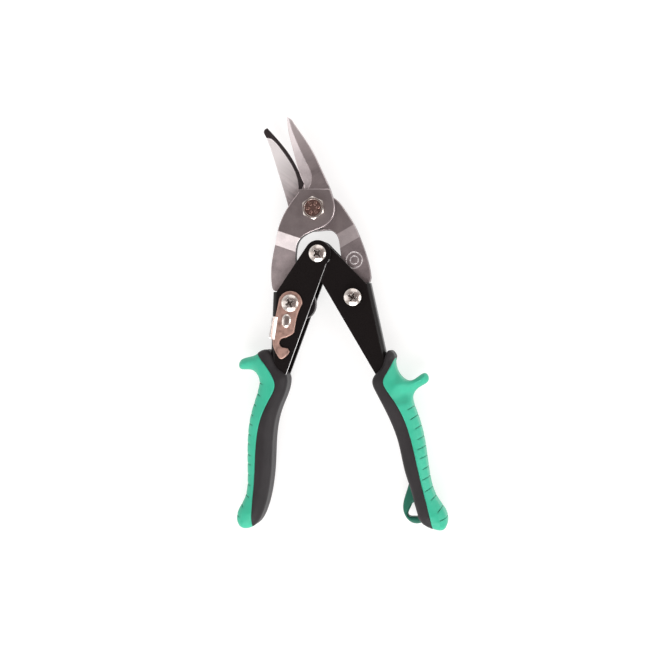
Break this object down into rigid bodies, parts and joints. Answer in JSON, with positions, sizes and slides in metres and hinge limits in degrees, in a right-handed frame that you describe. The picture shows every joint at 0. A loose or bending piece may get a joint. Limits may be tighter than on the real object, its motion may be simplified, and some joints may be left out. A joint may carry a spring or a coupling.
{
  "type": "aviation snips",
  "caption": "Compound-leverage sheet metal snips with offset joggled jaws, sprung channel handles, a swinging hook latch and two-tone moulded grips.",
  "frame": {"origin": "on the jaw pivot axis, at the back face of the jaw nut, where the tool rests", "axes": "+Z towards the side with the latch and screw heads, +Y along the mechanism's symmetry line towards the blade tips, +X to the right seen from the latch side"},
  "size_m": [0.1241, 0.2488, 0.0227],
  "materials": {
    "jaw_steel": "forged, ground and satin polished",
    "plated_fasteners": "bright nickel plate",
    "plated_latch": "bright plate, tumbled edges",
    "zinc_nuts": "zinc plated",
    "black_channel": "gloss black lacquer on pressed steel",
    "black_grip": "fine textured moulding",
    "green_grip": "soft satin moulding",
    "spring_steel": "oil tempered wire"
  },
  "bodies": {
    "left_handle": {"left_channel": "black_channel", "left_grip_core": "black_grip", "left_grip_cover": "green_grip", "handle_pivot_screw": "plated_fasteners", "handle_pivot_nut": "zinc_nuts", "left_jaw_screw": "plated_fasteners", "left_jaw_nut": "zinc_nuts", "left_tail_spacers": "zinc_nuts", "handle_spring": "spring_steel"},
    "right_handle": {"right_channel": "black_channel", "right_grip_core": "black_grip", "right_grip_cover": "green_grip", "hang_loop": "green_grip", "right_jaw_screw": "plated_fasteners", "right_jaw_nut": "zinc_nuts", "right_tail_washers": "zinc_nuts"},
    "front_jaw_body": {"front_jaw": "jaw_steel", "jaw_bolt": "plated_fasteners", "jaw_washer": "zinc_nuts", "jaw_nut": "zinc_nuts"},
    "rear_jaw_body": {"rear_jaw": "jaw_steel"},
    "latch_body": {"latch": "plated_latch"}
  },
  "joints": [
    {"name": "handle_squeeze", "type": "hinge", "parent": "left_handle", "child": "right_handle", "pos_m": [0, -0.0266, 0.011], "axis": [0, 0, -1], "range_deg": [0, 27.8], "stiffness_Nm_per_rad": 1.2, "springref_deg": -20.05, "deforming": ["handle_spring"]},
    {"name": "front_jaw_pivot", "type": "hinge", "parent": "left_handle", "child": "front_jaw_body", "pos_m": [-0.0186, -0.0541, 0.011], "axis": [0, 0, -1], "range_deg": [0, 6.6]},
    {"name": "blade_pivot", "type": "hinge", "parent": "front_jaw_body", "child": "rear_jaw_body", "pos_m": [0, 0, 0.011], "axis": [0, 0, -1], "range_deg": [0, 15]},
    {"name": "latch_swing", "type": "hinge", "parent": "left_handle", "child": "latch_body", "pos_m": [-0.0186, -0.0541, 0.0189], "axis": [0, 0, 1], "range_deg": [0, 88]}
  ],
  "couplings": [
    {"joint": "front_jaw_pivot", "follows": "handle_squeeze", "ratio": 0.2352},
    {"joint": "blade_pivot", "follows": "handle_squeeze", "ratio": 0.5303}
  ]
}
